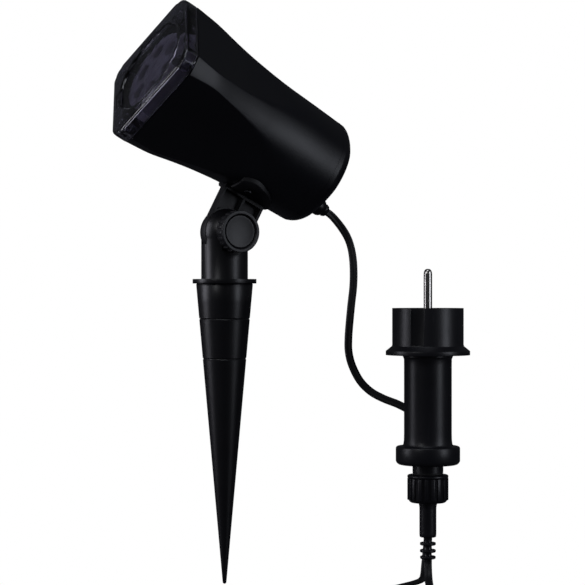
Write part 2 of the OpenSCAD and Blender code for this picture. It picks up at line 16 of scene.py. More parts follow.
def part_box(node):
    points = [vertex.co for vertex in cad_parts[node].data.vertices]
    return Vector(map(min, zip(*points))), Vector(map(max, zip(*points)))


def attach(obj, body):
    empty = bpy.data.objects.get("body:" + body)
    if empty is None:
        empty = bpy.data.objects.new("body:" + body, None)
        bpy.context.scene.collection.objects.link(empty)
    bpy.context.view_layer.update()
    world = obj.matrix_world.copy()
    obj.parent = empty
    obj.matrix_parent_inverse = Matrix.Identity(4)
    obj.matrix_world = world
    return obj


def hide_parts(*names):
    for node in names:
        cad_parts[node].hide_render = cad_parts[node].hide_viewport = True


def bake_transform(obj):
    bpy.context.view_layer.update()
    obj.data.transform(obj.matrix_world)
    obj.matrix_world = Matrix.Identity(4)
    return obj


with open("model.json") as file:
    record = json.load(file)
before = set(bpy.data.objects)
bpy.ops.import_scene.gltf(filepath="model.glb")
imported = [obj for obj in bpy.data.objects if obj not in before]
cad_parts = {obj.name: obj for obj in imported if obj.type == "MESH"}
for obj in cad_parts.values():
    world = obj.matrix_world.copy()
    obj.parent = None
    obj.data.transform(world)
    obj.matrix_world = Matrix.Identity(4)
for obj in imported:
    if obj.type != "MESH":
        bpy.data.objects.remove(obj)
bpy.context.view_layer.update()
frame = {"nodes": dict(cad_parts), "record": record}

nodes = frame["nodes"]

# %% [markdown]
# ## Camera
# The product is seen from its left front, level with the middle of its height, through a long
# lens about a metre away. A long lens keeps the round stem and the plug upright and undistorted.

# %% Camera
VIEW_TURN = math.radians(-29)
sight_back = Vector((math.sin(VIEW_TURN), -math.cos(VIEW_TURN), 0))
sight_right = Vector((math.cos(VIEW_TURN), math.sin(VIEW_TURN), 0))
aim = sight_right * 0.03535 + Vector((0, 0, -0.0047))
camera_data = bpy.data.cameras.new("camera")
camera_data.lens = 118.3
camera_data.sensor_width = 36
camera_data.clip_start = 0.02
camera_data.clip_end = 60
camera = bpy.data.objects.new("camera", camera_data)
bpy.context.scene.collection.objects.link(camera)
camera.location = aim + sight_back
camera.rotation_euler = (math.radians(90), 0, VIEW_TURN)
bpy.context.scene.camera = camera
print("camera at", [round(v, 3) for v in camera.location])

# %% [markdown]
# ## Cord
# The cord is a flat twin lead 4.2 mm wide, with a groove along each face where its two cores meet.
# Its middle line repeats the route of the engineering model, in metres: out of the gland, down
# behind the plug, along the floor to a tied coil, and back to the plug. A smooth curve is drawn
# through the route, and the section is swept along it, because a plain round bevel would lose the
# flat shape and the groove.

# %% The cord's route
def route(rows):
    return [(Vector(r[:3]) / 1000, Vector(r[3:])) for r in rows]

LAMP_RUN = route([
    (60.9, 0, 38.7, 0.47, 0, 0.88), (64.3, -0.7, 36.2, 0.5, -0.05, 0.86),
    (68.4, -2.4, 31.0, 0.6, -0.25, 0.7), (71.4, -4.1, 25.6, 0.65, -0.6, 0.45),
    (73.2, -5.1, 20.2, 0.7, -0.8, 0.2), (74.0, -6.1, 13.8, 0.8, -0.7, 0),
    (74.1, -6.8, 6.3, 0.85, -0.55, 0), (73.9, -6.7, -1.8, 0.87, -0.49, 0),
    (73.1, -6.2, -10.3, 0.87, -0.49, 0), (72.3, -5.7, -20.0, 0.87, -0.49, 0),
    (71.7, -5.4, -29.1, 0.87, -0.49, 0), (71.8, -5.5, -36.6, 0.87, -0.49, 0),
    (73.5, -6.4, -44.1, 0.87, -0.49, 0), (76.9, -8.9, -52.1, 0.7, -0.4, 0.6),
    (81.7, -12.1, -57.8, 0.6, -0.3, 0.75), (87.4, -16.4, -61.6, 0.4, -0.2, 0.9),
    (93.5, -20.9, -64.5, 0.4, -0.2, 0.9), (99.0, -25.1, -68.5, 0.6, -0.3, 0.75),
    (103.1, -28.6, -74.5, 0.7, -0.4, 0.6), (105.1, -30.8, -82.2, 0.87, -0.49, 0),
    (105.5, -31.6, -91.7, 0.87, -0.49, 0), (105.4, -31.6, -102.4, 0.87, -0.49, 0),
    (105.3, -31.6, -113.5, 0.87, -0.49, 0), (105.3, -31.6, -124.2, 0.87, -0.49, 0),
    (105.1, -31.7, -134.8, 0.87, -0.49, 0), (104.0, -32.2, -142.7, 0.87, -0.49, 0),
    (102.0, -34.0, -149.2, 0.87, -0.49, 0), (98.8, -38.0, -153.6, 0.8, -0.6, 0),
    (94.0, -43.4, -155.1, 0.66, -0.75, 0), (86.0, -50.2, -155.1, 0.57, -0.82, 0),
    (73.7, -57.0, -155.1, 0.45, -0.9, 0), (58.2, -64.3, -155.1, 0.38, -0.92, 0),
    (41.0, -70.7, -155.1, 0.33, -0.94, 0), (22.7, -76.7, -155.1, 0.33, -0.94, 0),
    (4.1, -83.6, -155.1, 0.43, -0.9, 0), (-11.6, -93.2, -155.1, 0.62, -0.8, 0),
    (-23.2, -105.2, -155.1, 0.75, -0.6, 0), (-32.0, -119.5, -155.1, 0.88, -0.45, 0)])
PLUG_RUN = route([
    (20.0, -148.3, -148.5, 0.88, -0.48, 0), (25.0, -139.6, -148.8, 0.85, -0.55, 0),
    (32.8, -129.1, -151.6, 0.8, -0.6, 0), (43.0, -117.6, -154.6, 0.75, -0.7, 0),
    (53.1, -107.2, -155.1, 0.72, -0.7, 0), (62.9, -96.6, -155.1, 0.75, -0.66, 0),
    (71.8, -85.5, -155.1, 0.8, -0.6, 0), (79.5, -73.8, -155.1, 0.85, -0.53, 0),
    (85.1, -64.3, -155.1, 0.87, -0.49, 0), (87.9, -59.6, -154.7, 0.87, -0.49, 0),
    (90.1, -55.6, -152.9, 0.87, -0.49, 0), (91.7, -52.7, -149.6, 0.87, -0.49, 0),
    (92.5, -51.3, -146.2, 0.87, -0.49, 0), (92.5, -51.3, -143.2, 0.87, -0.49, 0)])
COIL_X, COIL_Y = -0.006, -0.134
COIL_MIDDLE = Vector((COIL_X, COIL_Y, 0))
CORD_WIDE, CORD_THICK = 0.0042, 0.0021
print("route points", len(LAMP_RUN), len(PLUG_RUN))

# %% [markdown]
# The coil is sixteen turns: four side by side, wound from the outside in and back out, in four
# layers. Each turn has thirty-two points. Between two turns the radius or the height eases over
# within a short arc, so the turns stay a cord's width apart.

# %% The coil's turns
TURN_STEPS = 32
LANES = [0.0296, 0.0252, 0.0208, 0.0164]
COIL_FLOOR, LAYER_RISE = -0.1551, 0.0022
LAMP_RUN_ENDS, PLUG_RUN_STARTS = (-0.032, -0.1195), (0.020, -0.1483)
start_angle = math.atan2(LAMP_RUN_ENDS[1] - COIL_Y, LAMP_RUN_ENDS[0] - COIL_X)
end_angle = math.atan2(PLUG_RUN_STARTS[1] - COIL_Y, PLUG_RUN_STARTS[0] - COIL_X)
spots = []
for layer in range(4):
    lanes = LANES if layer % 2 == 0 else LANES[::-1]
    spots += [(lane, COIL_FLOOR + LAYER_RISE * layer) for lane in lanes]
coil = []
sweep_extra = (end_angle - start_angle) % math.tau
for turn, (lane, height) in enumerate(spots):
    nxt = spots[min(turn + 1, len(spots) - 1)]
    last = turn == len(spots) - 1
    steps = TURN_STEPS if not last else round(TURN_STEPS * sweep_extra / math.tau)
    for k in range(steps):
        ease = max(0.0, (k / TURN_STEPS - 0.6) / 0.4)
        ease = ease * ease * (3 - 2 * ease) if not last else 0.0
        angle = start_angle + math.tau * k / TURN_STEPS
        radius = lane + (nxt[0] - lane) * ease
        z = height + (nxt[1] - height) * ease
        radial = Vector((math.cos(angle), math.sin(angle), 0))
        coil.append((COIL_MIDDLE + radial * radius + Vector((0, 0, z)), radial))
print("coil points", len(coil))

# %% One smooth line through the whole cord
def smooth_line(points, parts):
    line = []
    for i in range(len(points) - 1):
        p0, p1 = points[max(i - 1, 0)], points[i]
        p2, p3 = points[i + 1], points[min(i + 2, len(points) - 1)]
        for k in range(parts):
            t = k / parts
            a, b = 2 * t**3 - 3 * t**2 + 1, t**3 - 2 * t**2 + t
            c, d = -2 * t**3 + 3 * t**2, t**3 - t**2
            place = p1[0] * a + (p2[0] - p0[0]) * b / 2 + p2[0] * c + (p3[0] - p1[0]) * d / 2
            line.append((place, p1[1].lerp(p2[1], t)))
    line.append(points[-1])
    return line

def lined_up(points):
    out = [points[0]]
    for place, side in points[1:]:
        out.append((place, side if side.dot(out[-1][1]) >= 0 else -side))
    return out

whole = lined_up(LAMP_RUN[:-1] + coil + PLUG_RUN)
first = smooth_line(whole[:len(LAMP_RUN)], 4)
middle = whole[len(LAMP_RUN):len(LAMP_RUN) - 1 + len(coil)]
last = smooth_line(whole[len(LAMP_RUN) - 1 + len(coil):], 4)
cord_line = lined_up(first + middle + last)
cord_length = sum((cord_line[i + 1][0] - cord_line[i][0]).length for i in range(len(cord_line) - 1))
print("cord length", round(cord_length, 3), "rings", len(cord_line))

# %% Sweep the twin section along the line
def twin_section(width, thick):
    r = thick / 2
    arm = width / 2 - r
    right = [(arm + r * math.cos(math.radians(a)), r * math.sin(math.radians(a)))
             for a in (-112, -75, -38, 0, 38, 75, 112)]
    left = [(-x, -y) for x, y in right]
    return right + [(0, r * 0.52)] + left + [(0, -r * 0.52)]

def swept(name, line, section):
    verts, faces = [], []
    n = len(section)
    for i, (place, side) in enumerate(line):
        ahead = (line[min(i + 1, len(line) - 1)][0] - line[max(i - 1, 0)][0]).normalized()
        side = (side - ahead * side.dot(ahead)).normalized()
        up = ahead.cross(side)
        verts += [place + side * x + up * y for x, y in section]
    for i in range(len(line) - 1):
        for k in range(n):
            a, b = i * n + k, i * n + (k + 1) % n
            faces.append((a, b, b + n, a + n))
    faces.append(tuple(range(n))[::-1])
    faces.append(tuple(range((len(line) - 1) * n, len(line) * n)))
    mesh = bpy.data.meshes.new(name)
    mesh.from_pydata([tuple(v) for v in verts], [], faces)
    mesh.polygons.foreach_set("use_smooth", [True] * len(mesh.polygons))
    piece = bpy.data.objects.new(name, mesh)
    bpy.context.scene.collection.objects.link(piece)
    return piece

cord = swept("cord", cord_line, twin_section(CORD_WIDE, CORD_THICK))
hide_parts("cord_lamp_run", "cord_coil", "cord_plug_run")
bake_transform(cord)
print("cord made", len(cord.data.vertices), "corners")

# %% [markdown]
# ## Frames of the three axes
# The lamp head, the plug and the knob are each modelled standing on the world's Z axis, where
# sizes are easy to read, and are then moved to the axis that the engineering model gives. The
# joints in its record say where those axes are.

# %% Axes from the record
joints = {j["name"]: j for j in frame["record"]["behaviour"]["joints"]}
MM = 0.001

def axis_frame(origin, along, across):
    z = Vector(along).normalized()
    x = (Vector(across) - z * z.dot(Vector(across))).normalized()
    turn = Matrix((x, z.cross(x), z)).transposed().to_4x4()
    return Matrix.Translation(Vector(origin)) @ turn

beam = Vector(joints["wheel_spin"]["axis"])
arm_up = Vector((0, 1, 0)).cross(beam)
head_frame = axis_frame(joints["wheel_spin"]["pos_m"], beam, arm_up)
hinge = Vector(joints["head_tilt"]["pos_m"])
pins = {m["name"]: Vector(m["pos_m"]) for m in frame["record"]["mounts"] if m["kind"] == "pin"}
plug_axis = Vector(joints["coupling_nut_turn"]["pos_m"])
plug_axis.z = 0
pin_line = pins["plug_pin_a"] - pins["plug_pin_b"]
plug_frame = axis_frame(plug_axis, (0, 0, 1), Vector((pin_line.y, -pin_line.x, 0)))
knob_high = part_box("tilt_knob")[1]
knob_frame = axis_frame((hinge.x, knob_high.y, hinge.z), (0, -1, 0), (1, 0, 0))
print("beam leans", round(math.degrees(math.asin(beam.z)), 1), "degrees up")

# %% [markdown]
# ## Modelling helpers
# Most pieces here were turned or moulded round an axis. The helper below works as a hand would:
# it adds a disc, then extrudes its face up the axis and scales it at each station, so a list of
# heights and radii becomes a closed body. Other helpers round its edges, cut ribs into its side
# and put it in place, with the place kept in the mesh.

# %% Select one piece
def select_none():
    if bpy.context.object and bpy.context.object.mode != "OBJECT":
        bpy.ops.object.mode_set(mode="OBJECT")
    bpy.ops.object.select_all(action="DESELECT")

def only(piece):
    select_none()
    piece.select_set(True)
    bpy.context.view_layer.objects.active = piece

for part in nodes.values():
    part.select_set(False)

# %% Turn a body on its axis
def turned(name, stations, sides=96, open_start=False):
    """A closed body through (height, radius) stations in millimetres."""
    select_none()
    first_z, first_r = stations[0]
    bpy.ops.mesh.primitive_circle_add(vertices=sides, radius=first_r * MM, fill_type="NGON")
    piece = bpy.context.object
    piece.name = piece.data.name = name
    bpy.ops.object.mode_set(mode="EDIT")
    bpy.ops.mesh.select_all(action="SELECT")
    bpy.ops.transform.translate(value=(0, 0, first_z * MM))
    for (z0, r0), (z1, r1) in zip(stations, stations[1:]):
        bpy.ops.mesh.extrude_region_move(TRANSFORM_OT_translate={"value": (0, 0, (z1 - z0) * MM)})
        bpy.ops.transform.resize(value=(r1 / r0, r1 / r0, 1), center_override=(0, 0, z1 * MM))
    if open_start:
        above_start = (first_z + 0.01) * MM
        take_faces(piece, lambda f: len(f.verts) == sides and f.calc_center_median().z < above_start)
        bpy.ops.mesh.delete(type="FACE")
    bpy.ops.mesh.select_all(action="SELECT")
    bpy.ops.mesh.normals_make_consistent(inside=False)
    bpy.ops.object.mode_set(mode="OBJECT")
    return piece

def take_faces(piece, wanted):
    """In edit mode, select the faces that pass the test, and nothing else."""
    mesh = bmesh.from_edit_mesh(piece.data)
    for face in mesh.faces:
        face.select_set(False)
    for face in mesh.faces:
        if wanted(face):
            face.select_set(True)
    mesh.select_flush_mode()
    bmesh.update_edit_mesh(piece.data)

# %% Finish a body's edges, walls and place
def finish_edges(piece, width=0.35, angle=32, segments=3, smooth=38):
    """Rounds the edges sharper than angle, width in millimetres."""
    only(piece)
    if width:
        rounding = piece.modifiers.new("rounding", "BEVEL")
        rounding.width = width * MM
        rounding.segments = segments
        rounding.limit_method = "ANGLE"
        rounding.angle_limit = math.radians(angle)
        bpy.ops.object.modifier_apply(modifier=rounding.name)
    bpy.ops.object.shade_smooth_by_angle(angle=math.radians(smooth))
    return piece

def walled(piece, wall):
    """Gives an open skin a wall, inwards, in millimetres."""
    only(piece)
    thickness = piece.modifiers.new("wall", "SOLIDIFY")
    thickness.thickness = wall * MM
    thickness.offset = -1
    bpy.ops.object.modifier_apply(modifier=thickness.name)
    return piece

def settle(piece, where, body, slot, *stands_for):
    """Moves a piece to its axis, keeps the place in its mesh, and fixes it to its body."""
    only(piece)
    piece.matrix_world = where
    bpy.ops.object.transform_apply(location=True, rotation=True, scale=True)
    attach(piece, body)
    if stands_for:
        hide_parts(*stands_for)
    print(piece.name, len(piece.data.polygons), "faces")
    return piece

def joined(pieces, name):
    only(pieces[0])
    for other in pieces[1:]:
        other.select_set(True)
    bpy.ops.object.join()
    pieces[0].name = pieces[0].data.name = name
    return pieces[0]

# %% Raise grip ribs on a body's side
def ribbed(piece, sides, low, high, period, wide, rise):
    """Lifts wide faces out of every period faces round the side, between two heights."""
    only(piece)
    bpy.ops.object.mode_set(mode="EDIT")
    def wanted(face):
        middle = face.calc_center_median()
        if not low * MM < middle.z < high * MM or len(face.verts) != 4 or abs(face.normal.z) > 0.3:
            return False
        turn = math.atan2(middle.y, middle.x) / math.tau % 1
        return int(turn * sides) % period < wide
    take_faces(piece, wanted)
    bpy.ops.mesh.extrude_region_shrink_fatten(TRANSFORM_OT_shrink_fatten={"value": rise * MM})
    bpy.ops.mesh.select_all(action="SELECT")
    bpy.ops.mesh.normals_make_consistent(inside=False)
    bpy.ops.object.mode_set(mode="OBJECT")
    return piece

# %% [markdown]
# Some mouldings, such as the fork and the ribbed arm, already have their exact shape in the
# engineering model, with knife-sharp edges. For those a copy is taken, its loose triangles are
# merged into whole faces, and its edges are rounded, as the real mould's are. That keeps every
# fit and adds the fine highlight that a real moulded edge shows.

# %% Soften a copy of an exact part
def softened(node, name, body, width):
    piece = bpy.data.objects.new(name, nodes[node].data.copy())
    bpy.context.scene.collection.objects.link(piece)
    only(piece)
    if piece.data.has_custom_normals:
        bpy.ops.mesh.customdata_custom_splitnormals_clear()
    bpy.ops.object.mode_set(mode="EDIT")
    bpy.ops.mesh.select_all(action="SELECT")
    bpy.ops.mesh.remove_doubles(threshold=0.000002)
    bpy.ops.mesh.dissolve_limited(angle_limit=math.radians(0.6))
    bpy.ops.object.mode_set(mode="OBJECT")
    finish_edges(piece, width, angle=34, segments=2, smooth=30)
    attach(piece, body)
    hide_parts(node)
    print(name, len(piece.data.polygons), "faces")
    return piece

# %% [markdown]
# ## Shader helper
# A finish is a small sum of numbers: a base roughness, plus a little cloudiness, plus scuffs. The
# Wire class lets those sums be written as sums. Each plus or times between wires adds one Math
# node. Everything else comes from one method, node, which takes a type, its settings and what is
# plugged into its sockets.

# %% Wires and finishes
class Wire:
    def __init__(self, finish, socket):
        self.finish, self.socket = finish, socket

    def sum(self, operation, first, second):
        return self.finish.node("ShaderNodeMath", {"operation": operation}, {0: first, 1: second})

    def __add__(self, other):
        return self.sum("ADD", self, other)

    def __mul__(self, other):
        return self.sum("MULTIPLY", self, other)

    def __sub__(self, other):
        return self.sum("SUBTRACT", self, other)

    def __rsub__(self, other):
        return self.sum("SUBTRACT", other, self)

    __radd__, __rmul__ = __add__, __mul__

class Finish:
    def __init__(self, name):
        self.material = bpy.data.materials.new(name)
        self.material.use_nodes = True
        self.tree = self.material.node_tree
        self.surface = self.tree.nodes["Principled BSDF"]
        self.place = self.node("ShaderNodeTexCoord", out="Object")

    def node(self, kind, settings=None, sockets=None, out=0):
        made = self.tree.nodes.new(kind)
        for key, value in (settings or {}).items():
            if key == "stops":
                for stop, (spot, shade) in zip(made.color_ramp.elements, value):
                    stop.position, stop.color = spot, (*shade, 1)
            else:
                setattr(made, key, value)
        for key, value in (sockets or {}).items():
            self.plug(made.inputs[key], value)
        return Wire(self, made.outputs[out])

    def plug(self, socket, value):
        if isinstance(value, Wire):
            self.tree.links.new(value.socket, socket)
        else:
            socket.default_value = value

    def set(self, **values):
        for key, value in values.items():
            self.plug(self.surface.inputs[key.replace("_", " ")], value)
        return self

    def cloud(self, scale, detail=3.0, stretch=(1, 1, 1)):
        """Soft noise between 0 and 1, scale in features a metre."""
        spots = self.node("ShaderNodeMapping", None, {"Vector": self.place, "Scale": stretch})
        return self.node("ShaderNodeTexNoise", None,
                         {"Vector": spots, "Scale": scale, "Detail": detail}, out="Fac")

    def mask(self, value, low, high):
        """0 below low and 1 above high, with a soft step between."""
        return self.node("ShaderNodeMapRange", {"interpolation_type": "SMOOTHSTEP"},
                         {"Value": value, "From Min": low, "From Max": high})

    def shades(self, value, dark, light):
        return self.node("ShaderNodeMix", {"data_type": "RGBA"},
                         {0: value, 6: (*dark, 1), 7: (*light, 1)}, out=2)

    def relief(self, height, depth):
        """A Bump of that depth in millimetres, plugged into Normal."""
        self.set(Normal=self.node("ShaderNodeBump", None,
                                  {"Height": height, "Distance": depth * MM, "Strength": 1.0}))
        return self

# %% [markdown]
# ## Finishes
# Nearly all of this lamp is injection-moulded plastic. Under a soft light such plastic shows three
# things: a fine grain from the mould, slow cloudiness in its gloss where the melt cooled unevenly,
# and faint hairline scuffs from handling. One function makes every moulded finish from these, with
# its own colour, gloss and grain.

# %% Moulded plastic
def moulded(name, dark, light, gloss, grain, scuffs=0.10, coat=0.0, coat_gloss=0.1):
    f = Finish(name)
    cloudy = f.cloud(55, 4)
    fine = f.cloud(2600, 2)
    hairs = f.mask(f.cloud(170, 5, (1, 7, 0.6)), 0.60, 0.72) * f.mask(f.cloud(38, 2), 0.45, 0.7)
    f.set(Base_Color=f.shades(cloudy + hairs * 0.5, dark, light),
          Roughness=gloss + (cloudy - 0.5) * 0.10 + hairs * scuffs + (fine - 0.5) * 0.05,
          Coat_Weight=coat, Coat_Roughness=coat_gloss, IOR=1.5)
    f.relief(fine + f.cloud(420, 2) * 0.6, grain)
    return f.material

finishes = {
    "black_satin": moulded("black_satin", (0.0042, 0.0041, 0.0056), (0.0075, 0.0073, 0.0094),
                           0.34, 0.012),
    "black_gloss": moulded("black_gloss", (0.0034, 0.0036, 0.0058), (0.0056, 0.0058, 0.0092),
                           0.38, 0.008, 0.08),
    "arm_black": moulded("arm_black", (0.0036, 0.0035, 0.0050), (0.0058, 0.0056, 0.0076), 0.54, 0.012),
    "knob_grey": moulded("knob_grey", (0.006, 0.006, 0.008), (0.010, 0.010, 0.013), 0.42, 0.016),
    "knob_shine": moulded("knob_shine", (0.003, 0.003, 0.0045), (0.005, 0.005, 0.007), 0.40, 0.004),
    "plug_black": moulded("plug_black", (0.0058, 0.0058, 0.0085), (0.0098, 0.0098, 0.0135),
                          0.36, 0.012),
    "plate": moulded("plate", (0.30, 0.28, 0.36), (0.42, 0.40, 0.50), 0.50, 0.02),
    "rubber": moulded("rubber", (0.006, 0.006, 0.007), (0.011, 0.011, 0.012), 0.62, 0.03),
}
print("moulded finishes", sorted(finishes))

# %% [markdown]
# The cord's jacket is softer and duller than the mouldings, with faint rings across it from the
# extruder. The rings are a noise squeezed along the height, which is how the part in view runs.

# %% Cord jacket
def jacket():
    f = Finish("cord_black")
    rings = f.cloud(900, 2, (1, 1, 3))
    dusty = f.cloud(120, 4)
    f.set(Base_Color=f.shades(dusty, (0.0065, 0.0065, 0.0075), (0.016, 0.016, 0.018)),
          Roughness=0.40 + dusty * 0.14 + rings * 0.06)
    f.relief(rings, 0.02)
    return f.material

finishes["cord_black"] = jacket()

# %% [markdown]
# Metals are a clean base colour with full Metallic. Turned and plated parts show fine lines round
# or along them and a little dulling in patches, so a stretched noise drives the roughness and the
# relief together.

# %% Metals
def metal(name, dark, light, gloss, lines=(1, 1, 0.08), depth=0.004):
    f = Finish(name)
    drawn = f.cloud(1500, 3, lines)
    dull = f.cloud(140, 3)
    f.set(Base_Color=f.shades(dull, dark, light), Metallic=1.0,
          Roughness=gloss + (drawn - 0.5) * 0.12 + (dull - 0.5) * 0.12)
    f.relief(drawn, depth)
    return f.material

finishes["nickel"] = metal("nickel", (0.62, 0.59, 0.55), (0.80, 0.78, 0.74), 0.17)
finishes["screw_dark"] = metal("screw_dark", (0.020, 0.020, 0.022), (0.05, 0.05, 0.055), 0.36)
finishes["steel"] = metal("steel", (0.42, 0.42, 0.43), (0.60, 0.60, 0.61), 0.30)
finishes["aluminium"] = metal("aluminium", (0.70, 0.71, 0.72), (0.84, 0.85, 0.86), 0.34, (1, 0.1, 1))
finishes["motor_can"] = metal("motor_can", (0.60, 0.60, 0.62), (0.74, 0.74, 0.76), 0.26)

# %% [markdown]
# The front cover and the lenses are clear acrylic. Real acrylic is never perfectly clean: it has a
# faint waviness from the mould, which bends highlights, and a film of dust that dulls them in
# patches. Transmission and the index of refraction stay plain numbers.

# %% Clear plastic
def clear(name, tint, gloss, wave):
    f = Finish(name)
    film = f.mask(f.cloud(90, 5), 0.45, 0.75)
    f.set(Base_Color=f.shades(film, tint, tuple(c * 0.93 for c in tint)),
          Roughness=gloss + film * 0.05, Transmission_Weight=1.0, IOR=1.49)
    f.relief(f.cloud(75, 3) + f.cloud(600, 2) * 0.05, wave)
    return f.material

finishes["clear"] = clear("clear", (0.62, 0.61, 0.68), 0.02, 0.30)
finishes["lens_glass"] = clear("lens_glass", (0.80, 0.80, 0.90), 0.04, 0.03)

# %% [markdown]
# Inside the head are a printed picture wheel, six small lamps and the circuit boards. A board
# is a solder mask over etched tracks, so a brick pattern stands in for the tracks: straight
# raised lines a shade lighter than the ground between them.

# %% Picture film, boards and their parts
def film():
    f = Finish("film")
    blots = f.node("ShaderNodeTexVoronoi", None, {"Vector": f.place, "Scale": 260.0}, out="Distance")
    inks = f.node("ShaderNodeTexVoronoi", None, {"Vector": f.place, "Scale": 110.0}, out="Color")
    f.set(Base_Color=inks, Roughness=0.18 + f.cloud(300) * 0.1,
          Alpha=0.55 + f.mask(blots, 0.2, 0.3) * 0.4)
    return f.material

def board(name, ground, track):
    f = Finish(name)
    tracks = f.node("ShaderNodeTexBrick", None,
                    {"Vector": f.place, "Scale": 260.0, "Mortar Size": 0.12}, out="Fac")
    f.set(Base_Color=f.shades(tracks, ground, track), Roughness=0.28 + f.cloud(500) * 0.14)
    f.relief(tracks, 0.03)
    return f.material

finishes["film"] = film()
finishes["board_green"] = board("board_green", (0.012, 0.075, 0.028), (0.03, 0.16, 0.06))
finishes["board_white"] = board("board_white", (0.66, 0.66, 0.63), (0.80, 0.80, 0.77))
finishes["led"] = moulded("led", (0.62, 0.56, 0.30), (0.80, 0.74, 0.42), 0.30, 0.01)
finishes["parts"] = moulded("parts", (0.03, 0.03, 0.035), (0.22, 0.16, 0.05), 0.40, 0.02)

# %% Every part takes its finish
slot_of = {row["node"]: row["material_slot"] for row in frame["record"]["subparts"]}

def wear(piece, slot):
    piece.data.materials.clear()
    piece.data.materials.append(finishes[slot])
    return piece

for name, part in nodes.items():
    wear(part, slot_of[name])
wear(cord, "cord_black")
print("parts with a finish", len(slot_of))

# %% [markdown]
# ## Lamp head: the black shell
# The shell is one deep moulding. It is round at its closed back, narrows to a waist, and flares to
# a square front with rounded corners, so four flat sides are pressed into a flared tube. It could
# be lofted from drawn sections. Here a round flared body is turned first and the flats are then
# pressed in, because that is the way its shape reads: round where the flats run out, square where
# they are deep. The points of each ring are gathered along the corner lines, so those lines stay
# crisp at the front and fade towards the back.

# %% Sizes of the shell
SHELL_RADII = [(-60, 28.1), (-38, 29.0), (-14, 30.0), (10, 31.0), (28, 33.1), (41, 35.4),
               (55, 38.3), (63, 39.0), (70, 39.4), (90, 40.0)]
FLAT_REACH = [(-60, 31.0), (-30, 30.8), (-10, 30.6), (4, 29.3), (18, 28.0), (34, 27.8),
              (52, 29.4), (70, 31.3), (90, 32.9)]
CORNER_BLEND = [(-60, 4.0), (0, 3.0), (16, 1.3), (30, 0.35), (45, 0.12), (90, 0.08)]
HEAD_BACK, HEAD_RIM, BACK_ROUND, SHELL_WALL = -37.0, 70.0, 7.5, 2.3
SIDE = 48

def between(table, at):
    """A smooth curve through a table of (place, value) rows."""
    i = max(k for k in range(len(table) - 1) if table[k][0] <= at)
    rows = [table[max(i - 1, 0)], table[i], table[i + 1], table[min(i + 2, len(table) - 1)]]
    (x0, y0), (x1, y1), (x2, y2), (x3, y3) = rows
    t = (at - x1) / (x2 - x1)
    s1 = (y2 - y0) / (x2 - x0) * (x2 - x1)
    s2 = (y3 - y1) / (x3 - x1) * (x2 - x1)
    return ((2 * t**3 - 3 * t**2 + 1) * y1 + (t**3 - 2 * t**2 + t) * s1
            + (3 * t**2 - 2 * t**3) * y2 + (t**3 - t**2) * s2)

def flat_ring(radius, reach, blend):
    """Angle and radius of a ring's points: round corners on the axes, flats between them."""
    corner = math.pi / 4 - math.acos(min(1.0, reach / radius))
    corner = max(corner, 0.02)
    points = []
    for k in range(4 * SIDE):
        quarter, step = divmod(k, SIDE)
        half = SIDE // 4
        if step <= half:
            angle = corner * step / half
        elif step <= 3 * half:
            angle = corner + (math.pi / 2 - 2 * corner) * (step - half) / (2 * half)
        else:
            angle = math.pi / 2 - corner * (SIDE - step) / half
        off = abs(angle - math.pi / 4)
        flat = reach / math.cos(off)
        near = max(blend - abs(radius - flat), 0) / blend
        points.append((quarter * math.pi / 2 + angle, min(radius, flat) - near * near * blend / 4))
    return points

def press_flats(piece):
    """Moves every ring of a turned body onto the shell's section at its height."""
    rings = {}
    for v in piece.data.vertices:
        rings.setdefault(round(v.co.z * 1e6), []).append(v)
    for key, ring in rings.items():
        z = key / 1000
        turned_r = max(math.hypot(v.co.x, v.co.y) for v in ring) / MM
        if len(ring) != 4 * SIDE:
            continue
        full = between(SHELL_RADII, z)
        shape = flat_ring(full, min(between(FLAT_REACH, z), full * 0.9999), between(CORNER_BLEND, z))
        ring.sort(key=lambda v: math.atan2(v.co.y, v.co.x) % math.tau)
        for v, (angle, radius) in zip(ring, shape):
            r = radius * turned_r / full * MM
            v.co.x, v.co.y = r * math.cos(angle), r * math.sin(angle)
print("shell sizes ready")

# %% Turn the shell, press its flats and give it a wall
back_centre_r = between(SHELL_RADII, HEAD_BACK + BACK_ROUND) - BACK_ROUND
stations = [(HEAD_BACK + 0.35, 0.4), (HEAD_BACK + 0.3, 8.0), (HEAD_BACK + 0.12, 15.0)]
stations += [(HEAD_BACK + BACK_ROUND * (1 - math.cos(a)), back_centre_r + BACK_ROUND * math.sin(a))
             for a in [math.radians(d) for d in range(0, 90, 9)]]
stations += [(z, between(SHELL_RADII, z)) for z in range(-31, 70, 3)]
stations += [(z, between(SHELL_RADII, HEAD_RIM)) for z in (HEAD_RIM - 0.5, HEAD_RIM)]
shell = turned("head_shell_skin", stations, 4 * SIDE)
bpy.ops.object.mode_set(mode="EDIT")
take_faces(shell, lambda f: len(f.verts) > 4 and f.calc_center_median().z > (HEAD_RIM - 0.1) * MM)
bpy.ops.mesh.delete(type="FACE")
bpy.ops.object.mode_set(mode="OBJECT")
press_flats(shell)
walled(shell, SHELL_WALL)
finish_edges(shell, 0, smooth=14)
wear(settle(shell, head_frame, "head", "black_gloss", "head_shell"), "black_gloss")

# %% [markdown]
# ## Lamp head: the clear front
# The front is one clear moulding with a wavy edge: each corner swells into a small round lobe where
# a clip sits, and the sides pull in between the lobes. A shallow round window is sunk in its face,
# and a ring behind the window holds the lens plate. It is turned as a stepped disc, its rings are
# pulled out to the wavy outline, and it is given a thin wall, so light bends at both of its faces.

# %% The wavy cover
LOBE_R, LOBE_IN, COVER_DEEP, WINDOW_R = 5.6, 4.6, 8.0, 24.4
COVER_R, WAVES_FROM = 36.0, 27.5
POST_OUT, CLIP_OUT = 0.0328, 0.0292
rim_r = between(SHELL_RADII, HEAD_RIM)
lobe_at = rim_r - LOBE_IN

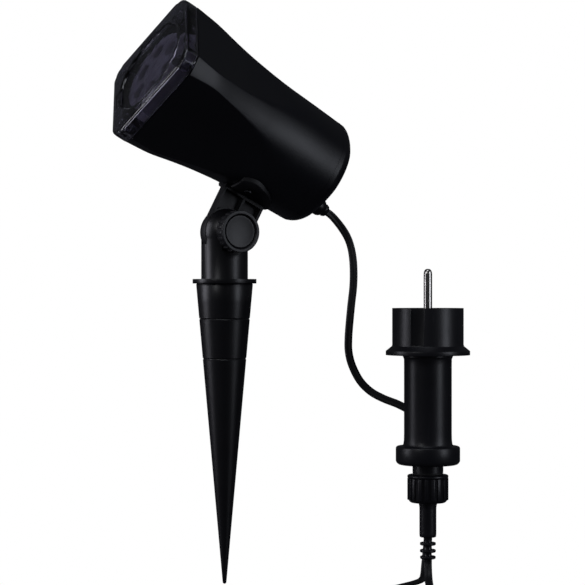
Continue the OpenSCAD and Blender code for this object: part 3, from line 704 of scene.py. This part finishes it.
def cover_reach(angle, inset):
    off = (angle + math.pi / 4) % (math.pi / 2) - math.pi / 4
    flat = (between(FLAT_REACH, HEAD_RIM) + 0.3 - inset) / math.cos(math.pi / 4 - abs(off))
    reach = min(rim_r - 0.1 - inset, flat)
    across = lobe_at * math.sin(abs(off))
    lobe = LOBE_R - inset
    if across < lobe:
        reach = max(reach, lobe_at * math.cos(off) + math.sqrt(lobe * lobe - across * across))
    return reach

def wave_rings(piece):
    """Moves the outer rings of the turned cover onto the wavy outline."""
    for v in piece.data.vertices:
        radius = math.hypot(v.co.x, v.co.y) / MM
        if radius > WAVES_FROM:
            angle = math.atan2(v.co.y, v.co.x) % math.tau
            reach = cover_reach(angle, COVER_R - radius) * MM
            v.co.x, v.co.y = reach * math.cos(angle), reach * math.sin(angle)

base = HEAD_RIM + 0.8
face = HEAD_RIM + COVER_DEEP
steps = [(base, COVER_R), (face - 1.8, COVER_R), (face - 1.3, 35.8), (face - 0.8, 35.5),
         (face - 0.4, 35.0),
         (face - 0.1, 34.3), (face, 33.4), (face + 0.05, 30.0), (face + 0.1, 26.4), (face + 0.05, 25.6),
         (face - 0.2, WINDOW_R + 0.5), (face - 1.0, WINDOW_R), (face - 1.1, WINDOW_R - 0.8),
         (face - 1.0, 15.0), (face - 0.95, 1.0)]
cover = turned("front_cover_skin", steps, 192, open_start=True)
wave_rings(cover)
walled(cover, 1.7)
ring = turned("cover_ring", [(HEAD_RIM - 7.5, WINDOW_R + 1.9), (face - 2.9, WINDOW_R + 1.7)], 128)
only(ring)
bpy.ops.object.mode_set(mode="EDIT")
take_faces(ring, lambda f: len(f.verts) > 4)
bpy.ops.mesh.delete(type="FACE")
bpy.ops.object.mode_set(mode="OBJECT")
walled(ring, 1.4)
corner_bits = []
for k in range(4):
    post = turned(f"cover_post_{k}", [(base + 0.3, 2.2), (face - 4, 2.5), (face - 1.9, 2.6)], 32)
    post.data.transform(Matrix.Rotation(k * math.pi / 2, 4, "Z") @ Matrix.Translation((POST_OUT, 0, 0)))
    clip = turned(f"cover_clip_{k}", [(HEAD_RIM - 7, 1.5), (HEAD_RIM - 5.6, 2.6), (face - 1.9, 2.2)], 4)
    clip.data.transform(Matrix.Rotation(k * math.pi / 2, 4, "Z") @ Matrix.Translation((CLIP_OUT, 0, 0)))
    corner_bits += [post, clip]
cover = joined([cover, ring] + corner_bits, "front_cover_clear")
finish_edges(cover, 0, smooth=28)
wear(settle(cover, head_frame, "head", "clear", "front_cover"), "clear")

# %% [markdown]
# ## Cable gland
# The cord leaves the shell through a small gland: a low nut, a domed sleeve and a soft nose that
# keeps the cord from kinking. It is a turned piece on its own axis, beside the shell's.

# %% The gland
GLAND_OFF, GLAND_TIP = -14.6, -48.2
gland_frame = head_frame @ Matrix.Translation((GLAND_OFF * MM, 0, 0))
sleeve_steps = [(0, 2.5), (0.3, 3.0), (1.6, 3.5), (2.2, 3.3), (2.9, 3.6), (3.4, 4.2), (4.4, 4.65),
                (5.8, 4.8), (7.4, 4.8), (7.8, 4.5), (8.2, 4.9)]
stations = [(GLAND_TIP + up, radius) for up, radius in sleeve_steps]
stations += [(HEAD_BACK - 0.2, 5.1), (HEAD_BACK + 1.0, 5.1)]
gland = turned("gland_body", stations, 64)
finish_edges(gland, 0.2)
wear(settle(gland, gland_frame, "head", "black_satin", "cable_gland"), "black_satin")

# %% [markdown]
# ## Stem, fork and tilt arm
# The stem ends in a ball that is split by a slot, and the ribbed arm turns in that slot. Both are
# exact mouldings already, so their copies get rounded edges. The arm keeps its sunken web, its
# rims and the round saddle with its screws.

# %% Stem, arm and screws
wear(softened("stem_post", "stem", "stake", 0.45), "black_satin")
wear(softened("tilt_arm", "arm", "head", 0.30), "arm_black")
wear(softened("arm_screws", "saddle_screws", "head", 0.12), "screw_dark")

# %% [markdown]
# ## Ground spike
# The spike is a long cone with two fine rings moulded round its upper half and a blunt tip.
# It is turned from the tip up, with a narrow dip at each ring.

# %% The spike
spike_low, spike_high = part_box("ground_spike")
spike_len = -spike_low.z / MM
SPIKE_TOP, SPIKE_TIP = spike_high.x / MM, 1.0

def spike_r(z):
    return SPIKE_TOP + (SPIKE_TOP - SPIKE_TIP) * z / (spike_len - SPIKE_TIP)

stations = [(-spike_len + SPIKE_TIP * (1 - math.cos(a)), SPIKE_TIP * max(math.sin(a), 0.05))
            for a in [math.radians(d) for d in (0, 30, 60, 88)]]
RING_DIP = [(-0.5, 0), (-0.28, -0.22), (0, -0.34), (0.28, -0.22), (0.5, 0)]
marks = [(ring + step, dip) for ring in (-39.1, -18.4) for step, dip in RING_DIP]
plain = [(z, 0) for z in range(-150, -41, 12)] + [(-28, 0), (-10, 0)]
stations += [(z, spike_r(z) + dip) for z, dip in sorted(plain + marks)]
stations += [(-0.5, spike_r(-0.5)), (-0.05, spike_r(0) - 0.35), (-0.02, 8.0)]
spike = turned("spike", stations, 96)
finish_edges(spike, 0, smooth=40)
wear(settle(spike, Matrix.Identity(4), "stake", "black_satin", "ground_spike"), "black_satin")

# %% [markdown]
# ## Clamp knob
# The knob is a ribbed disc with a raised rim and a dished face. Its side is divided finely, and
# three faces out of every six are lifted into a grip rib. The cap in the face is a separate
# insert, slightly dished, in a darker and smoother plastic.

# %% Knob and cap
KNOB_R, KNOB_DEEP, RIBS = 10.8, 7.6, 22
knob = turned("knob_body", [(0.0, 4.6), (0.0, KNOB_R - 1.3), (0.5, KNOB_R - 0.7), (1.0, KNOB_R - 0.6),
                            (KNOB_DEEP - 1.5, KNOB_R - 0.6), (KNOB_DEEP - 1.3, KNOB_R - 0.1),
                            (KNOB_DEEP - 1.0, KNOB_R), (KNOB_DEEP - 0.35, KNOB_R),
                            (KNOB_DEEP - 0.05, KNOB_R - 0.3), (KNOB_DEEP, KNOB_R - 0.8),
                            (KNOB_DEEP - 0.05, KNOB_R - 1.5), (KNOB_DEEP - 0.4, KNOB_R - 1.9),
                            (KNOB_DEEP - 1.6, KNOB_R - 2.3), (KNOB_DEEP - 1.6, 4.6)], RIBS * 6)
ribbed(knob, RIBS * 6, 1.0, KNOB_DEEP - 1.5, period=6, wide=3, rise=0.62)
finish_edges(knob, 0.14, angle=40, segments=2, smooth=35)
wear(settle(knob, knob_frame, "knob", "knob_grey", "tilt_knob"), "knob_grey")
dish = KNOB_DEEP - 1.2
BOWL = [(8.4, -0.3), (8.35, 0.2), (8.1, 0.32), (7.7, 0.28), (6.6, 0.13), (5.4, 0.0), (4.1, -0.10),
        (2.8, -0.17), (1.5, -0.21), (0.2, -0.22)]
cap = turned("knob_face", [(dish + rise, r) for r, rise in BOWL], 96)
finish_edges(cap, 0.08, angle=40, segments=2, smooth=35)
wear(settle(cap, knob_frame, "knob", "knob_grey", "knob_cap"), "knob_shine")

# %% [markdown]
# ## Plug
# The plug stands on its cord. Its contact end has slots and notches that guide it into a socket,
# so an exact copy is softened. The transformer barrel, the collar under it and the ribbed coupling
# nut are plain turned work and are turned afresh, with the fillets that a mould gives them.

# %% Contact end and pins
wear(softened("plug_front", "contact_end", "stake", 0.45), "plug_black")
pins_made = []
for side in (-1, 1):
    pin = turned(f"pin_{side + 1}", [(-22, 2.6), (-13.0, 2.6), (-12.9, 2.2), (4.6, 2.2), (5.6, 2.12),
                                     (6.5, 1.85), (7.1, 1.4), (7.45, 0.8), (7.5, 0.1)], 48)
    pin.data.transform(Matrix.Translation((0, side * 9.5 * MM, 0)))
    pins_made.append(pin)
pin_pair = joined(pins_made, "pin_pair")
finish_edges(pin_pair, 0, smooth=35)
wear(settle(pin_pair, plug_frame, "stake", "nickel", "plug_pins"), "nickel")

# %% Transformer barrel and its collar
BARREL_R, COLLAR_R = 12.4, 16.7
barrel = turned("transformer_barrel", [
    (-94.1, 6.2), (-94.1, COLLAR_R - 2.0), (-93.9, COLLAR_R - 1.3), (-93.2, COLLAR_R - 0.5),
    (-92.2, COLLAR_R), (-85.6, COLLAR_R), (-84.9, COLLAR_R - 0.25), (-84.6, COLLAR_R - 0.8),
    (-84.5, COLLAR_R - 1.6), (-84.5, BARREL_R + 1.4), (-84.3, BARREL_R + 0.8), (-83.4, BARREL_R + 0.35),
    (-81.5, BARREL_R + 0.08), (-78, BARREL_R), (-60, BARREL_R), (-42, BARREL_R),
    (-39.4, BARREL_R + 0.05), (-38.6, BARREL_R + 0.3), (-38.2, BARREL_R + 0.6),
    (-37.2, BARREL_R + 0.6), (-37.2, BARREL_R), (-35.3, BARREL_R), (-35.3, 8.0)], 112)
finish_edges(barrel, 0.15, angle=40, segments=2, smooth=35)
wear(settle(barrel, plug_frame, "stake", "plug_black", "plug_barrel"), "plug_black")

# %% Coupling nut, with eighteen flat ribs
NUT_R, NUT_RIBS = 10.7, 18
nut = turned("nut_body", [
    (-113.8, 5.2), (-113.8, NUT_R - 1.9), (-113.4, NUT_R - 1.3), (-112.7, NUT_R - 0.75),
    (-112.4, NUT_R - 0.65), (-101.2, NUT_R - 0.65), (-101.0, NUT_R - 0.3), (-100.8, NUT_R - 0.05),
    (-99.8, NUT_R - 0.05), (-99.4, NUT_R - 0.5), (-99.35, 6.8)], NUT_RIBS * 7)
ribbed(nut, NUT_RIBS * 7, -112.4, -101.2, period=7, wide=4, rise=0.62)
finish_edges(nut, 0.16, angle=40, segments=2, smooth=35)
wear(settle(nut, plug_frame, "nut", "plug_black", "coupling_nut"), "plug_black")

# %% [markdown]
# ## Strain relief and tie
# Where the flat cord leaves the plug it is gripped by a soft sleeve. Its lower end is cut into
# discs on a thin core, so it bends with the cord in place of kinking it. Each disc is a few
# stations of the same turned body.

# %% Strain relief
relief = [(-143.2, 1.35), (-143.2, 3.6), (-142.95, 4.0), (-141.95, 4.1), (-141.7, 3.7), (-141.7, 2.0)]
for disc in (-139.8, -136.1):
    relief += [(disc, 2.0), (disc, 3.7), (disc + 0.25, 4.1), (disc + 1.25, 4.15), (disc + 1.5, 3.75),
               (disc + 1.5, 2.1)]
relief += [(-132.0, 2.3), (-131.9, 3.9), (-131.5, 4.3), (-130, 4.4), (-117.5, 4.4), (-116.2, 4.45),
           (-114.6, 4.75), (-112.5, 4.9), (-112.3, 2.75), (-104.5, 2.75)]
sleeve = turned("relief_sleeve", relief, 64)
finish_edges(sleeve, 0.12, angle=40, segments=2, smooth=35)
wear(settle(sleeve, plug_frame, "stake", "plug_black", "strain_relief"), "plug_black")

# %% The tie round the coil
wear(softened("cord_tie", "coil_tie", "stake", 0.3), slot_of["cord_tie"])

# %% [markdown]
# ## Lens plate
# Behind the window sits a round plate with six holes, one lens in each. A softened copy gives the
# holes a small bright edge. The lenses, the picture wheel and what is behind them keep their
# engineering shapes, because they are simple turned parts seen through smoky plastic.

# %% The lens plate
wear(softened("lens_plate", "lens_holder", "head", 0.25), "plate")

# %% [markdown]
# ## Floor, lights and background
# The lamp is a catalogue picture on white: a white floor under a white sky, and large soft boxes
# left and right, above and in front, that draw long highlights down every black cylinder. Black
# plastic shows mostly what it mirrors, so what the mirror directions see is kept dark while the
# camera sees white. The Light Path node splits the two, on the floor and the sky only.

# %% Floor and sky
def split_by_ray(tree, seen, mirrored, output, socket):
    rays = tree.nodes.new("ShaderNodeLightPath")
    mix = tree.nodes.new("ShaderNodeMixShader")
    tree.links.new(rays.outputs["Is Camera Ray"], mix.inputs[0])
    tree.links.new(mirrored, mix.inputs[1])
    tree.links.new(seen, mix.inputs[2])
    tree.links.new(mix.outputs[0], output.inputs[socket])

world = bpy.data.worlds.new("studio")
bpy.context.scene.world = world
world.use_nodes = True
sky = world.node_tree
sky.nodes.clear()
white = sky.nodes.new("ShaderNodeBackground")
white.inputs["Color"].default_value = (1, 1, 1, 1)
dim = sky.nodes.new("ShaderNodeBackground")
dim.inputs["Color"].default_value = (0.75, 0.78, 0.86, 1)
dim.inputs["Strength"].default_value = 0.045
split_by_ray(sky, white.outputs[0], dim.outputs[0], sky.nodes.new("ShaderNodeOutputWorld"), "Surface")

bpy.ops.object.select_all(action="DESELECT")
bpy.ops.mesh.primitive_plane_add(size=12, location=(0, 0, spike_low.z - 0.0002))
floor = bpy.context.object
floor.name = "floor"
bpy.ops.object.transform_apply(location=True)
paint = bpy.data.materials.new("floor_paint")
paint.use_nodes = True
tree = paint.node_tree
matt = tree.nodes["Principled BSDF"]
matt.inputs["Base Color"].default_value = (0.10, 0.10, 0.11, 1)
matt.inputs["Roughness"].default_value = 0.9
glow = tree.nodes.new("ShaderNodeEmission")
glow.inputs["Color"].default_value = (1, 1, 1, 1)
split_by_ray(tree, glow.outputs[0], matt.outputs[0], tree.nodes["Material Output"], "Surface")
floor.data.materials.append(paint)
bpy.context.scene.view_settings.view_transform = "Standard"
print("floor at", round(spike_low.z, 4))

# %% Soft boxes
def soft_box(name, towards, away, wide, tall, watts, tint=(1, 1, 1)):
    data = bpy.data.lights.new(name, "AREA")
    data.shape = "RECTANGLE"
    data.size, data.size_y, data.energy, data.color = wide, tall, watts, tint
    box = bpy.data.objects.new(name, data)
    bpy.context.scene.collection.objects.link(box)
    place = Vector(towards).normalized() * away
    box.location = place
    box.rotation_euler = place.to_track_quat("Z", "Y").to_euler()
    return box

soft_box("box_right", (0.50, -0.86, 0.10), 1.1, 0.30, 0.95, 2.4, (0.86, 0.90, 1.0))
soft_box("box_left", (-0.90, 0.44, 0.16), 1.1, 0.42, 1.0, 4.2, (0.90, 0.90, 1.0))
soft_box("box_top", (-0.25, -0.35, 1.0), 1.2, 0.6, 0.5, 1.5, (0.88, 0.92, 1.0))
soft_box("box_front", (-0.88, -0.42, 0.55), 1.2, 0.25, 0.5, 1.2, (0.95, 0.96, 1.0))
